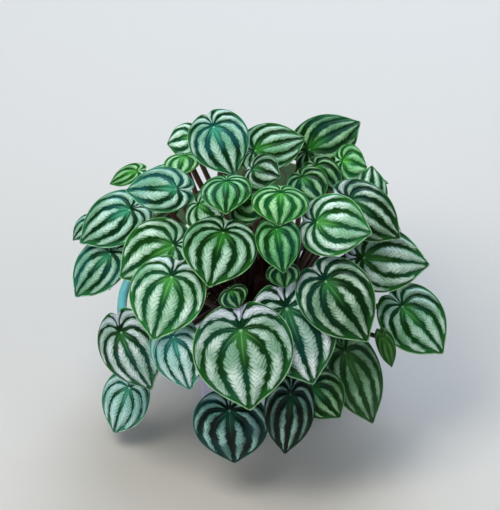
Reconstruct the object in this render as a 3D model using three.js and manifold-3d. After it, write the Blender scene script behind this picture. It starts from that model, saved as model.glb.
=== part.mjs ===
// A potted watermelon peperomia: three rooted crowns in a plain tapered plastic pot, their leaf stalks
// fanning out into a ball of shield-shaped leaves that hangs down round the pot.
// Millimetres, +Z up. The origin is the centre of the pot's foot, and the plant's front faces -Y.
import * as THREE from "three";
import { mergeVertices } from "three/addons/utils/BufferGeometryUtils.js";
import Module from "manifold-3d";

const wasm = await Module();
wasm.setup();

// ---------------------------------------------------------------- driving dimensions

// Pot: an 11 cm nursery pot of thin plastic with a rolled band at the rim and drain holes in its floor.
const POT_HEIGHT = 92;
const FOOT_RADIUS = 43;
const MOUTH_RADIUS = 52; // outside of the wall at the top, under the rim band
const RIM_RADIUS = 55;
const RIM_DEPTH = 13;
const WALL = 2.2;
const FLOOR = 2.6;
const POT_EDGE = 1.5; // how far the edges of foot and rim are eased
const POT_SIDES = 40;
const DRAIN_HOLES = 6;
const DRAIN_RADIUS = 4.5;
const DRAIN_CIRCLE = 27;
const DRAIN_SIDES = 12;

// Soil: a plug of potting mix that fills the pot to a little under the rim.
const SOIL_LEVEL = 82;
const SOIL_GAP = 0.3;
const SOIL_SIDES = 30;
const SOIL_RINGS = [0.93, 0.74, 0.55, 0.37, 0.2];
const SOIL_SHOULDER = 2; // how far the soil's edge lies below its level
const SOIL_LUMPS = 1.6; // how far its top is heaved up or sunk
const SOIL_LUMP_WIDTHS = [15, 17, 7, 9];

// Crowns: short fleshy stems that the leaf stalks grow from.
const CROWN_COUNT = 3;
const CROWN_CIRCLE = 15;
const CROWN_RADIUS = 7;
const CROWN_HEIGHT = 17;
const CROWN_ROOT = 14; // how deep it stands in the soil
const CROWN_TAPER = 0.8; // its foot, as a share of its radius
const CROWN_TOP = 0.62; // and its top
const CROWN_SIDES = 10;
const LOWEST_SPROUT = 5; // where stalks leave a crown, above the soil
const HIGHEST_SPROUT = 13;

// Leaf stalks: fleshy, a little thicker on the bigger leaves.
const STALK_RADIUS = 1.6;
const STALK_RADIUS_SHARE = 0.012; // and this share of the width of the blade it carries
const STALK_SIDES = 5;
const STALK_STEPS = 6;
const STALK_GAP = 0.4; // free space kept round a stalk
const SEAT_GAP = 0.3; // between a stalk's end and the leaf it carries
const MOST_SEAT_GAP = 2.6; // at the middle of a stalk's end, where that meets its blade aslant
const SEAT_STEP = 0.2;

// Leaf blades: a round shield with a pointed tip and a shallow notch, joined to its stalk inside the edge.
// The outline is given for a midrib, from joint to tip, of length 1.
const BLADE_THICKNESS = 1.2;
const ROUND_RADIUS = 0.61;
const ROUND_CENTRE = 0.23; // how far the middle of the round lies from the joint, towards the tip
const TIP_SHARE = 1 - ROUND_CENTRE - ROUND_RADIUS;
const TIP_SPREAD = 11; // degrees
const NOTCH_SHARE = 0.09;
const NOTCH_SPREAD = 14; // degrees
const BLADE_SECTORS = 20; // half of them veins, half the ridges between
const SMALL_BLADE_SECTORS = 12;
const SMALL_BLADE_WIDTH = 34;
const BLADE_RINGS = [0.52, 1];
const PLEAT = 0.5; // how far the ridges stand above, and the veins lie below, the blade's middle surface
const VEIN_BEND = 34; // degrees by which a vein turns towards the tip on its way to the margin
const CUP = 0.34; // how fast a blade falls away from its joint
const CUP_ASIDE = 0.6; // how much of that it does sideways
const CUP_CHANGE = 0.2; // how much it differs between leaves
const CUP_TURN = 2.4; // and the step, in radians, by which that changes from one leaf to the next
const BLADE_GAP = 0.8; // free space kept round each blade

// The ball of foliage.
const BALL_RADIUS = 126;
const REAR_BALL_RADIUS = 106; // at the sides and the back
const BALL_HEIGHT = 101;
const FLOOR_CLEARANCE = 3.5;
const SIGHT_ELEVATION = 38; // degrees
const FACE_SIGHT = 0.45; // how much a blade turns from the ball's own outward direction to the eye
const LIFT_STEP = 1;
const MOST_LIFT = 60;

// ---------------------------------------------------------------- the leaves, each placed by hand
// A leaf is placed as it is seen from one side of the plant, looking down at SIGHT_ELEVATION: from the
// front (azimuth 0), the right (90), the back (180) or the left (270). The first pair is where the stalk
// joins the blade and the second is the blade's tip, both across and up in millimetres from the middle
// of the pot's foot. "near" is how much nearer to the eye the tip is than the joint, "width" is the
// blade's own width, and "stand" is how far it stands off
// the leaves under it. Rows run from the leaves underneath to those that lie on top of them.
const LEAVES = [
  // name, azimuth, [joint], [tip], near, width, stand
  ["leaf_01", 0, [57, 169], [74, 164], -5, 33, 0],
  ["leaf_02", 0, [-49, 186], [-67, 181], -5, 32, 0],
  ["leaf_03", 0, [-89, 162], [-108, 153], -8, 18, 0],
  ["leaf_04", 0, [-122, 127], [-134, 113], -5, 20, 0],
  ["leaf_05", 0, [76, 141], [77, 166], -12, 26, 0],
  ["leaf_06", 0, [-5, 176], [31, 185], -10, 39, 0],
  ["leaf_07", 0, [38, 165], [55, 147], 0, 26, 0],
  ["leaf_08", 0, [28, 157], [42, 140], 6, 31, 0],
  ["leaf_09", 0, [61, 141], [97, 114], -8, 42, 4],
  ["leaf_10", 0, [-18, 139], [7, 138], 6, 31, 0],
  ["leaf_11", 0, [-44, 138], [-28, 126], 6, 33, 0],
  ["leaf_12", 0, [-6, 163], [13, 157], 6, 30, 5],
  ["leaf_13", 0, [-55, 172], [-59, 157], 13, 27, 0],
  ["leaf_14", 0, [-60, 149], [-96, 148], -8, 34, 0],
  ["leaf_15", 0, [-93, 135], [-129, 111], -8, 44, 0],
  ["leaf_16", 0, [-107, 104], [-132, 73], -4, 41, 0],
  ["leaf_17", 0, [33, 177], [70, 197], -12, 42, 0],
  ["leaf_18", 0, [-34, 193], [-19, 158], 4, 43, 0],
  ["leaf_19", 0, [-25, 154], [-25, 131], 18, 36, 0],
  ["leaf_20", 0, [-22, 78], [-16, 66], 4, 22, 0],
  ["leaf_21", 0, [14, 94], [16, 80], 4, 24, 0],
  ["leaf_22", 0, [-62, 110], [-100, 87], -5, 52, 0],
  ["leaf_23", 0, [-27, 119], [-37, 80], 8, 53, 0],
  ["leaf_24", 0, [10, 121], [15, 90], 8, 32, 0],
  ["leaf_25", 0, [13, 146], [12, 123], 6, 40, 0],
  ["leaf_26", 0, [38, 126], [77, 118], 6, 46, 0],
  ["leaf_27", 0, [85, 45], [91, 24], -5, 14, 0],
  ["leaf_28", 0, [58, 35], [78, -16], -16, 40, 0],
  ["leaf_29", 0, [99, 67], [128, 33], -6, 49, 0],
  ["leaf_30", 0, [71, 101], [118, 96], -4, 47, 0],
  ["leaf_31", 0, [35, 12], [55, -11], -8, 36, 0],
  ["leaf_32", 0, [-94, 9], [-105, -24], -14, 38, 0],
  ["leaf_33", 0, [-99, 49], [-77, 8], -10, 48, 0],
  ["leaf_34", 0, [-62, 46], [-50, 8], -12, 40, 0],
  ["leaf_35", 0, [-63, 88], [-76, 43], 0, 55, 6],
  ["leaf_36", 0, [20, 6], [16, -37], -20, 36, 0],
  ["leaf_37", 0, [17, 66], [36, 12], -6, 61, 0],
  ["leaf_38", 0, [44, 85], [74, 42], 0, 53, 0],
  ["leaf_39", 0, [-23, -6], [-19, -44], -22, 54, 0],
  ["leaf_40", 0, [-15, 51], [-8, -6], -4, 71, 0],
  ["leaf_41", 180, [-58, 110], [-76, 66], -4, 60, 0],
  ["leaf_42", 180, [-2, 129], [-6, 78], 2, 66, 0],
  ["leaf_43", 180, [52, 108], [70, 62], -4, 62, 0],
  ["leaf_44", 90, [-8, 100], [-4, 50], 0, 62, 0],
  ["leaf_45", 90, [26, 46], [36, 0], -14, 56, 0],
  ["leaf_46", 270, [-27, 36], [-27, -6], -17, 52, 0],
  ["leaf_47", 270, [-62, 40], [-72, -2], -14, 50, 0],
  ["leaf_48", 180, [8, 8], [12, -34], -24, 56, 0],
  ["leaf_49", 180, [-57, 42], [-73, -4], -18, 60, 0],
  ["leaf_50", 180, [57, 42], [71, -2], -18, 60, 0],
  ["leaf_51", 180, [0, 52], [-4, -2], -16, 66, 0],
  ["leaf_52", 180, [-68, 66], [-85, 28], -10, 54, 0],
  ["leaf_53", 180, [-33, 85], [-41, 33], -2, 66, 0],
  ["leaf_54", 180, [33, 82], [41, 30], -2, 66, 0],
  ["leaf_55", 180, [81, 77], [99, 35], -8, 56, 0],
];

// A stalk with a way of its own: that of leaf_33 arches out at the side and comes down behind its blade.
// "slew" is how much it comes to its blade from aside.
const OWN_BENDS = { leaf_33: [{ swing: -40, tuck: 0, dip: 1.5, slew: -1.4, lean: 25, rise: 40, turn: 70 }] };

// ---------------------------------------------------------------- finishes

const POT_FINISH = new THREE.MeshStandardMaterial({ color: 0xc9bcd2, roughness: 0.42, metalness: 0 });
const SOIL_FINISH = new THREE.MeshStandardMaterial({ color: 0x2b2019, roughness: 0.95, metalness: 0 });
const STALK_FINISH = new THREE.MeshStandardMaterial({ color: 0x7d4a3c, roughness: 0.45, metalness: 0 });
const BLADE_FINISH = new THREE.MeshStandardMaterial({ color: 0x5f9a63, roughness: 0.38, metalness: 0 });

// ---------------------------------------------------------------- solids and meshes

const MERGE_DISTANCE = 1e-4;

// A geometry whose faces share their corners.
function joined(geometry) {
  const bare = geometry.clone();
  bare.deleteAttribute("normal");
  bare.deleteAttribute("uv");
  return mergeVertices(bare, MERGE_DISTANCE);
}

// A closed geometry as a solid that can be joined, cut and tested for overlap.
function solidOf(geometry) {
  const merged = joined(geometry);
  return new wasm.Manifold(
    new wasm.Mesh({
      numProp: 3,
      vertProperties: merged.attributes.position.array,
      triVerts: new Uint32Array(merged.index.array),
    }),
  );
}

function geometryOf(solid) {
  const mesh = solid.getMesh();
  const geometry = new THREE.BufferGeometry();
  geometry.setAttribute("position", new THREE.BufferAttribute(mesh.vertProperties, mesh.numProp));
  geometry.setIndex(new THREE.BufferAttribute(mesh.triVerts, 1));
  return geometry;
}

function meshOf(name, geometry, finish) {
  const mesh = new THREE.Mesh(geometry, finish);
  mesh.name = name;
  return mesh;
}

function boxesMeet(a, b) {
  return [0, 1, 2].every((k) => a.min[k] < b.max[k] && b.min[k] < a.max[k]);
}

// The volume that two solids share, in mm3, looking first at their boxes.
function sharedVolume(a, b) {
  return boxesMeet(a.boundingBox(), b.boundingBox()) ? a.intersect(b).volume() : 0;
}

// ---------------------------------------------------------------- pot

// An outline of [radius, height] pairs, turned about the upright axis.
function turned(outline, sides) {
  const points = outline.map(([radius, height]) => new THREE.Vector2(radius, height));
  return new THREE.LatheGeometry(points, sides).rotateX(Math.PI / 2);
}

function onCircle(radius, share, height) {
  const angle = share * 2 * Math.PI;
  return new THREE.Vector3(radius * Math.cos(angle), radius * Math.sin(angle), height);
}

// The outside of the pot's wall, under its rim band.
function wallRadius(height) {
  return THREE.MathUtils.mapLinear(height, 0, POT_HEIGHT, FOOT_RADIUS, MOUTH_RADIUS);
}

function makePot() {
  const rimBottom = POT_HEIGHT - RIM_DEPTH;
  const outline = [
    [0, 0],
    [FOOT_RADIUS - POT_EDGE, 0],
    [FOOT_RADIUS, POT_EDGE],
    [wallRadius(rimBottom), rimBottom],
    [RIM_RADIUS - POT_EDGE / 2, rimBottom + POT_EDGE / 2],
    [RIM_RADIUS, POT_HEIGHT - POT_EDGE],
    [RIM_RADIUS - POT_EDGE, POT_HEIGHT],
    [MOUTH_RADIUS - WALL, POT_HEIGHT],
    [wallRadius(FLOOR) - WALL, FLOOR],
    [0, FLOOR],
  ];
  let pot = solidOf(turned(outline, POT_SIDES));
  for (let i = 0; i < DRAIN_HOLES; i++) {
    const drill = new THREE.CylinderGeometry(DRAIN_RADIUS, DRAIN_RADIUS, 4 * FLOOR, DRAIN_SIDES);
    const place = onCircle(DRAIN_CIRCLE, i / DRAIN_HOLES, 0);
    pot = pot.subtract(solidOf(drill.rotateX(Math.PI / 2).translate(...place)));
  }
  return pot;
}

// ---------------------------------------------------------------- crowns and soil

// The first crown stands behind, and the others to the left and the right in front of it.
function crownPlace(i) {
  return onCircle(CROWN_CIRCLE, 1 / 4 + i / CROWN_COUNT, SOIL_LEVEL);
}

// A crown's stem, or with a margin the plain hole that it stands in.
function crownStem(i, margin) {
  const radius = CROWN_RADIUS + margin;
  const outline = [
    [0, -CROWN_ROOT - margin],
    [radius * CROWN_TAPER, -CROWN_ROOT - margin],
    [radius, -CROWN_ROOT / 2],
    [radius, CROWN_HEIGHT / 2],
    [radius * CROWN_TOP, CROWN_HEIGHT],
    [0, CROWN_HEIGHT],
  ];
  return solidOf(turned(outline, CROWN_SIDES).translate(...crownPlace(i)));
}

// How far the top of the soil is heaved up or sunk at a place.
function lump(x, y) {
  const [a, b, c, d] = SOIL_LUMP_WIDTHS.map((width) => (2 * Math.PI) / width);
  return SOIL_LUMPS * (Math.sin(a * x) * Math.cos(b * y) + Math.sin(c * x - d * y) / 2);
}

// Potting mix: a turned plug with a lumpy top.
function makeSoil() {
  const side = (height) => wallRadius(height) - WALL - SOIL_GAP;
  const shoulder = SOIL_LEVEL - SOIL_SHOULDER;
  const outline = [
    [0, FLOOR],
    [side(FLOOR), FLOOR],
    [side(shoulder), shoulder],
    ...SOIL_RINGS.map((share) => [share * side(SOIL_LEVEL), SOIL_LEVEL]),
    [0, SOIL_LEVEL],
  ];
  const plug = joined(turned(outline, SOIL_SIDES));
  const place = plug.attributes.position;
  for (let i = 0; i < place.count; i++) {
    if (place.getZ(i) > shoulder) place.setZ(i, SOIL_LEVEL + lump(place.getX(i), place.getY(i)));
  }
  let soil = solidOf(plug);
  for (let i = 0; i < CROWN_COUNT; i++) soil = soil.subtract(crownStem(i, SOIL_GAP));
  return soil;
}

// ---------------------------------------------------------------- leaf blades

const radians = (angle) => (angle * Math.PI) / 180;

// The margin's distance from the joint, for a midrib of length 1, at an angle from the tip.
function marginRadius(angle) {
  const turn = Math.abs(angle);
  const halfChord = Math.sqrt(ROUND_RADIUS ** 2 - (ROUND_CENTRE * Math.sin(turn)) ** 2);
  const round = ROUND_CENTRE * Math.cos(turn) + halfChord;
  const tip = TIP_SHARE * Math.exp(-turn / radians(TIP_SPREAD));
  const notch = NOTCH_SHARE * Math.exp(-(((Math.PI - turn) / radians(NOTCH_SPREAD)) ** 2));
  return round + tip - notch;
}

// Veins leave the joint well spread and turn towards the tip: the angle at a share of the way out.
function veinAngle(end, share) {
  return end + radians(VEIN_BEND) * (1 - share) * Math.sin(end);
}

// What the eye sees from an azimuth: across, up and towards it.
function sight(azimuth) {
  const [turn, tilt] = [radians(azimuth), radians(SIGHT_ELEVATION)];
  const ahead = new THREE.Vector3(-Math.sin(turn), Math.cos(turn), 0);
  const top = new THREE.Vector3(0, 0, 1);
  return {
    across: new THREE.Vector3(Math.cos(turn), Math.sin(turn), 0),
    up: top.clone().multiplyScalar(Math.cos(tilt)).addScaledVector(ahead, Math.sin(tilt)),
    eye: top.multiplyScalar(Math.sin(tilt)).addScaledVector(ahead, -Math.cos(tilt)),
  };
}

// A blade's place in space: where its joint is, which way its midrib runs and which way its face looks.
function bladePlace([name, azimuth, joint, tip, near, width], number, lift) {
  const { across, up, eye } = sight(azimuth);
  const seen = ([x, y], depth) =>
    new THREE.Vector3().addScaledVector(across, x).addScaledVector(up, y).addScaledVector(eye, depth);
  const ball = new THREE.Vector3(0, 0, BALL_HEIGHT);
  const ballRadius = azimuth === 0 ? BALL_RADIUS : REAR_BALL_RADIUS;
  const middle = seen([(joint[0] + tip[0]) / 2, (joint[1] + tip[1]) / 2], 0);
  const fromBall = middle.clone().sub(ball);
  const back = fromBall.dot(eye);
  const aside = fromBall.lengthSq() - back ** 2;
  middle.addScaledVector(eye, lift - back + Math.sqrt(Math.max(0, ballRadius ** 2 - aside)));

  const chord = seen([tip[0] - joint[0], tip[1] - joint[1]], near);
  const way = chord.clone().normalize();
  const face = middle.clone().sub(ball).normalize().lerp(eye, FACE_SIGHT);
  face.addScaledVector(way, -face.dot(way)).normalize();

  // The midrib leaves the joint a little above the straight line to the tip, and falls to the tip.
  const cup = CUP * (1 + CUP_CHANGE * Math.sin(CUP_TURN * number));
  const drop = Math.atan(cup);
  const midrib = way.clone().multiplyScalar(Math.cos(drop)).addScaledVector(face, Math.sin(drop));
  const normal = face.multiplyScalar(Math.cos(drop)).addScaledVector(way, -Math.sin(drop));
  const length = chord.length() * Math.cos(drop);
  return {
    name,
    joint: middle.addScaledVector(chord, -0.5),
    midrib,
    normal,
    sideways: new THREE.Vector3().crossVectors(midrib, normal),
    length,
    spread: width / (2 * ROUND_RADIUS * length),
    cup,
    width,
    sectors: width < SMALL_BLADE_WIDTH ? SMALL_BLADE_SECTORS : BLADE_SECTORS,
  };
}

// A point of a blade: out to a share of the margin at an angle, and up from its middle surface.
function bladePoint(place, angle, share, level, margin) {
  const r = marginRadius(angle) * share * (1 + margin / place.length);
  const [x, y] = [r * Math.sin(angle) * place.spread, r * Math.cos(angle)];
  const fall = place.cup * (y ** 2 + CUP_ASIDE * x ** 2);
  return place.joint
    .clone()
    .addScaledVector(place.sideways, x * place.length)
    .addScaledVector(place.midrib, y * place.length)
    .addScaledVector(place.normal, level - fall * place.length);
}

// A blade as a closed mesh, split into triangles alike on its upper and its under face.
function bladeGeometry(place, thickness, margin) {
  const { sectors } = place;
  const points = [];
  for (const level of [thickness / 2, -thickness / 2]) {
    points.push(bladePoint(place, 0, 0, level - PLEAT, margin));
    for (const share of BLADE_RINGS) {
      for (let i = 0; i < sectors; i++) {
        const angle = veinAngle((i / sectors) * 2 * Math.PI - Math.PI, share);
        const pleat = share < 1 ? PLEAT * (i % 2 ? 1 : -1) : 0;
        points.push(bladePoint(place, angle, share, level + pleat, share < 1 ? 0 : margin));
      }
    }
  }
  const faceSize = 1 + sectors * BLADE_RINGS.length;
  const at = (face, ring, i) => face * faceSize + 1 + ring * sectors + (i % sectors);
  const index = [];
  for (let i = 0; i < sectors; i++) {
    for (const face of [0, 1]) {
      const add = (a, b, c) => index.push(...(face ? [a, c, b] : [a, b, c]));
      add(face * faceSize, at(face, 0, i + 1), at(face, 0, i));
      for (let ring = 1; ring < BLADE_RINGS.length; ring++) {
        const [a, b] = [at(face, ring - 1, i), at(face, ring - 1, i + 1)];
        const [c, d] = [at(face, ring, i), at(face, ring, i + 1)];
        add(a, b, d);
        add(a, d, c);
      }
    }
    const rim = BLADE_RINGS.length - 1;
    const [a, b, c, d] = [at(0, rim, i), at(0, rim, i + 1), at(1, rim, i), at(1, rim, i + 1)];
    index.push(a, b, d, a, d, c);
  }
  const geometry = new THREE.BufferGeometry().setFromPoints(points);
  geometry.setIndex(index);
  return geometry;
}

// The least lift towards the eye, from a first one on, at which nothing is in a blade's way.
function freeLift(row, number, first, obstacles) {
  for (let lift = first; lift <= MOST_LIFT; lift += LIFT_STEP) {
    const place = bladePlace(row, number, lift);
    const envelope = solidOf(bladeGeometry(place, BLADE_THICKNESS + 2 * BLADE_GAP, BLADE_GAP));
    if (envelope.boundingBox().min[2] < FLOOR_CLEARANCE) continue;
    if (obstacles.every((other) => sharedVolume(envelope, other) === 0)) return lift;
  }
  throw new Error(`no free place for ${row[0]}`);
}

// Each blade is laid on those before it, and then stands off them by what its row says.
function layBlades(holders) {
  const laid = [];
  LEAVES.forEach((row, number) => {
    const stand = row.at(-1);
    const obstacles = [...holders, ...laid.map((blade) => blade.solid)];
    const onThem = freeLift(row, number, 0, obstacles);
    const lift = freeLift(row, number, onThem + stand, obstacles);
    const place = bladePlace(row, number, lift);
    laid.push({ ...place, solid: solidOf(bladeGeometry(place, BLADE_THICKNESS, 0)) });
  });
  return laid;
}

// ---------------------------------------------------------------- leaf stalks

// The ways in which a stalk is tried, from the plainest: how far it swings aside, how it comes to its
// blade (off the straight line from below: in from the crown, and down from above), how far it leans
// outwards and rises from its crown, and how far off its blade it turns.
const SWINGS = [0, 14, -14, 28, -28];
const APPROACHES = [[0, 0], [0.5, 0], [0, 0.6], [1, 0], [0.4, 1.2], [1.6, 0]];
const LEANS = [6, 20, 34];
const RISES = [24, 38, 52, 66, 10];
const TURNS = [20, 32, 12, 44];

function* bendsFor(blade) {
  yield* OWN_BENDS[blade.name] ?? [];
  for (const swing of SWINGS) {
    for (const [tuck, dip] of APPROACHES) {
      for (const lean of LEANS) {
        for (const rise of RISES) {
          for (const turn of TURNS) yield { swing, tuck, dip, lean, rise, turn };
        }
      }
    }
  }
}

// A stalk from inside its crown to a little under its blade's joint, grown by a margin all round.
function makeStalk(blade, crown, bend, seatGap, margin) {
  const up = new THREE.Vector3(0, 0, 1);
  const out = blade.joint.clone().sub(crown).setZ(0).normalize();
  const aside = new THREE.Vector3().crossVectors(up, out);
  const share = blade.joint.z / (BALL_HEIGHT + BALL_RADIUS);
  const height = THREE.MathUtils.lerp(LOWEST_SPROUT, HIGHEST_SPROUT, share);
  const start = crown.clone().addScaledVector(out, CROWN_RADIUS / 2).addScaledVector(up, height);
  const under = blade.normal.clone().negate();
  const end = blade.joint.clone().addScaledVector(under, PLEAT + BLADE_THICKNESS / 2 + seatGap - margin);
  const approach = under.clone().addScaledVector(out, -bend.tuck).addScaledVector(up, bend.dip);
  approach.addScaledVector(aside, bend.slew ?? 0).normalize();
  const first = start.clone().addScaledVector(up, bend.rise).addScaledVector(out, bend.lean);
  first.addScaledVector(aside, bend.swing);
  const second = end.clone().addScaledVector(approach, bend.turn);
  const path = new THREE.CubicBezierCurve3(start, first, second, end);
  const radius = STALK_RADIUS + STALK_RADIUS_SHARE * blade.width + margin;
  const section = new THREE.Shape(
    Array.from({ length: STALK_SIDES }, (_, i) => {
      const corner = onCircle(radius, i / STALK_SIDES, 0);
      return new THREE.Vector2(corner.x, corner.y);
    }),
  );
  const settings = { steps: STALK_STEPS, extrudePath: path, bevelEnabled: false };
  return solidOf(new THREE.ExtrudeGeometry(section, settings));
}

function nearestCrown(blade) {
  const outward = (i) => crownPlace(i).setZ(0).dot(blade.joint);
  return [...Array(CROWN_COUNT).keys()].sort((a, b) => outward(b) - outward(a))[0];
}

// Routes one stalk: the first bend that is clear of every blade, of the pot and of the other crowns.
function routeStalk(blade, crown, obstacles) {
  for (const bend of bendsFor(blade)) {
    for (let seatGap = SEAT_GAP; seatGap < MOST_SEAT_GAP; seatGap += SEAT_STEP) {
      if (sharedVolume(makeStalk(blade, crown, bend, seatGap, SEAT_GAP / 2), blade.solid) > 0) continue;
      const envelope = makeStalk(blade, crown, bend, seatGap, STALK_GAP);
      if (obstacles.some((other) => other !== blade.solid && sharedVolume(envelope, other) > 0)) break;
      return makeStalk(blade, crown, bend, seatGap, 0);
    }
  }
  throw new Error(`no way for the stalk of ${blade.name}`);
}

function growCrowns(blades, holders) {
  const crowns = Array.from({ length: CROWN_COUNT }, (_, i) => crownStem(i, 0));
  for (const blade of blades) {
    const own = nearestCrown(blade);
    const others = crowns.filter((_, i) => i !== own);
    const obstacles = [...blades.map((other) => other.solid), ...holders, ...others];
    crowns[own] = crowns[own].add(routeStalk(blade, crownPlace(own), obstacles));
  }
  return crowns;
}

// ---------------------------------------------------------------- the plant

const pot = makePot();
const soil = makeSoil();
const blades = layBlades([pot, soil]);
const crowns = growCrowns(blades, [pot, soil]);

const plant = new THREE.Group();
plant.add(meshOf("pot", geometryOf(pot), POT_FINISH));
plant.add(meshOf("soil", geometryOf(soil), SOIL_FINISH));
crowns.forEach((crown, i) => plant.add(meshOf(`crown_${i + 1}`, geometryOf(crown), STALK_FINISH)));
for (const blade of blades) plant.add(meshOf(blade.name, geometryOf(blade.solid), BLADE_FINISH));

export default plant;
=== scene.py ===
# %% [markdown]
# # A potted watermelon peperomia
# This lesson dresses a plant whose solids are already built: a pot, the potting mix in it, three crowns
# with their leaf stalks, and 55 leaf blades. They are loaded first, as a fixed frame. Every piece made
# here takes the place of one of them, so each is measured from the frame instead of from numbers of its
# own.

# %% Load the frame
import math
import random

import bmesh
import bpy
from mathutils import Matrix, Vector, noise


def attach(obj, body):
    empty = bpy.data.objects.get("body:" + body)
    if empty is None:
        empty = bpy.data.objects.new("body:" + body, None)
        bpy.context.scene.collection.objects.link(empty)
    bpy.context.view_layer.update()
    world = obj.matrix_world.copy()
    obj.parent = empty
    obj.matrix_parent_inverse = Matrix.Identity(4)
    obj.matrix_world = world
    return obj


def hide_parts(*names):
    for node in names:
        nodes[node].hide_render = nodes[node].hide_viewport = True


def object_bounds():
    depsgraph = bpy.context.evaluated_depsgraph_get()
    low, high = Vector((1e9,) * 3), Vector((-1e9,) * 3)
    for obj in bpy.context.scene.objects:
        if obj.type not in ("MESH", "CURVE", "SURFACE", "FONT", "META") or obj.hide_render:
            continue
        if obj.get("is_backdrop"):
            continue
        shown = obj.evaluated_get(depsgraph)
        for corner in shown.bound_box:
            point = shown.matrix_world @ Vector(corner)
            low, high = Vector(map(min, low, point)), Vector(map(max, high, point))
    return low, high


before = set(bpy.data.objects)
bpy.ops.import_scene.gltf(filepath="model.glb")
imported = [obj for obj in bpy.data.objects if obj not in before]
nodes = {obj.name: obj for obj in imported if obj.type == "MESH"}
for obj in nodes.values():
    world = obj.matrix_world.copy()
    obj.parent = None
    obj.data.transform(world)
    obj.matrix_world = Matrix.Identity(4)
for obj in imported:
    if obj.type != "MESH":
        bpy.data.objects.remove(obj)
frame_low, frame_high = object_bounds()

MM = 0.001
blade_names = sorted(name for name in nodes if name.startswith("leaf_"))
crown_names = sorted(name for name in nodes if name.startswith("crown_"))
print("loaded", len(blade_names), "blades and", len(crown_names), "crowns")

# %% [markdown]
# ## The camera
# The photograph looks down on the plant from 38 degrees, through a long lens: its far leaves look almost
# as large as its near ones. A camera six metres away with a narrow view gives that. It aims at a point
# among the front leaves, so that these have the photograph's size.

# %% Camera
SIGHT_ELEVATION = math.radians(38)
CAMERA_DISTANCE = 6.0
FRAME_WIDTH = 350 * MM  # what the picture's width spans among the front leaves
AIM = Vector((-8.4, -50.9, 170.4)) * MM

sight = Vector((0, -math.cos(SIGHT_ELEVATION), math.sin(SIGHT_ELEVATION)))  # from the plant to the eye
bpy.ops.object.camera_add(location=AIM + CAMERA_DISTANCE * sight)
camera = bpy.context.object
camera.name = "camera"
camera.rotation_euler = (math.pi / 2 - SIGHT_ELEVATION, 0, 0)
camera.data.sensor_fit = "HORIZONTAL"
camera.data.lens = camera.data.sensor_width * CAMERA_DISTANCE / FRAME_WIDTH
camera.data.clip_end = 100
bpy.context.scene.camera = camera
print("lens of", round(camera.data.lens), "mm")

# %% [markdown]
# ## Colours and nodes
# Colours are written as a screen shows them, and one function turns them into the linear values that a
# shader works with. A second function adds any node to a material, with its settings and links, and a
# third ends a material with its shader.

# %% Helpers for colours and nodes
def colour(hex_code):
    """An sRGB hex code as linear red, green, blue and alpha."""
    channels = [int(hex_code[i : i + 2], 16) / 255 for i in (0, 2, 4)]
    return [c / 12.92 if c <= 0.04045 else ((c + 0.055) / 1.055) ** 2.4 for c in channels] + [1]


def add_node(material, kind, inputs=(), out=0, stops=(), **settings):
    """Adds a node and gives back one of its outputs.

    Inputs are links or values: a list in their own order, or a dictionary by name or number. Stops are
    those of a colour ramp, and settings are the node's own properties.
    """
    node = material.node_tree.nodes.new("ShaderNode" + kind)
    for name, value in settings.items():
        setattr(node, name, value)
    for number, (position, value) in enumerate(stops):
        elements = node.color_ramp.elements
        element = elements[number] if number < 2 else elements.new(position)
        element.position = position
        element.color = value if isinstance(value, list) else [value] * 3 + [1]
    for key, value in inputs.items() if isinstance(inputs, dict) else enumerate(inputs):
        if isinstance(value, bpy.types.NodeSocket):
            material.node_tree.links.new(value, node.inputs[key])
        else:
            node.inputs[key].default_value = value
    return node.outputs[out] if node.outputs else None


def new_material(name):
    material = bpy.data.materials.new(name)
    material.use_nodes = True
    material.node_tree.nodes.clear()
    return material


def finish(material, **sockets):
    """Ends a material with its shader, whose sockets are named with _ for a space."""
    inputs = {name.replace("_", " "): value for name, value in sockets.items()}
    shader = add_node(material, "BsdfPrincipled", inputs)
    add_node(material, "OutputMaterial", {"Surface": shader})
    return material


# %% [markdown]
# ## Floor and light
# A plain pale floor, five soft boxes and a dim room. The sky and window boxes stand behind the plant: a
# waxy leaf shows its gloss where it mirrors the window, on the lobes that turn up and away. The key, fill
# and low boxes light the leaves from the front. All but the window are left out of the gloss, so that the
# dark bands of the leaves stay deep. Floor paint is matt, so it shows soft shadows and mirrors nothing.

# %% Floor
FLOOR_SIDE = 14.0

bpy.ops.object.select_all(action="DESELECT")
bpy.ops.mesh.primitive_plane_add(size=FLOOR_SIDE)
floor = bpy.context.object
floor.name = "floor"
paint = finish(new_material("matt floor paint"), Base_Color=colour("c6c3bd"), Roughness=0.9)
floor.data.materials.append(paint)
floor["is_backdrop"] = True

# %% Lights
# Azimuth and elevation in degrees, distance and side in metres, watts, tint, and whether gloss shows it.
SOFT_BOXES = {
    "sky_box": (172, 40, 1.6, 1.5, 20, "d9eaff", False),
    "window_box": (168, 42, 2.2, 0.8, 22, "dfecff", True),
    "key_box": (-40, 60, 1.8, 0.9, 23, "fffaf0", False),
    "fill_box": (55, 38, 2.0, 1.2, 8, "f4f8ff", False),
    "low_box": (-62, 12, 2.0, 1.0, 9, "f2f7ff", False),
}
ROOM_LIGHT = 0.16


def soft_box(name, azimuth, elevation, distance, side, watts, tint, in_gloss):
    """A square area light that looks at the plant. Azimuth 0 is the camera's side and 90 the right."""
    turn, tilt = math.radians(azimuth), math.radians(elevation)
    toward = Vector((math.sin(turn) * math.cos(tilt), -math.cos(turn) * math.cos(tilt), math.sin(tilt)))
    bpy.ops.object.light_add(type="AREA", location=AIM + distance * toward)
    light = bpy.context.object
    light.name = name
    light.rotation_euler = toward.to_track_quat("Z", "Y").to_euler()
    light.visible_glossy = in_gloss
    light.data.size = side
    light.data.energy = watts
    light.data.color = colour(tint)[:3]


for name, values in SOFT_BOXES.items():
    soft_box(name, *values)

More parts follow.
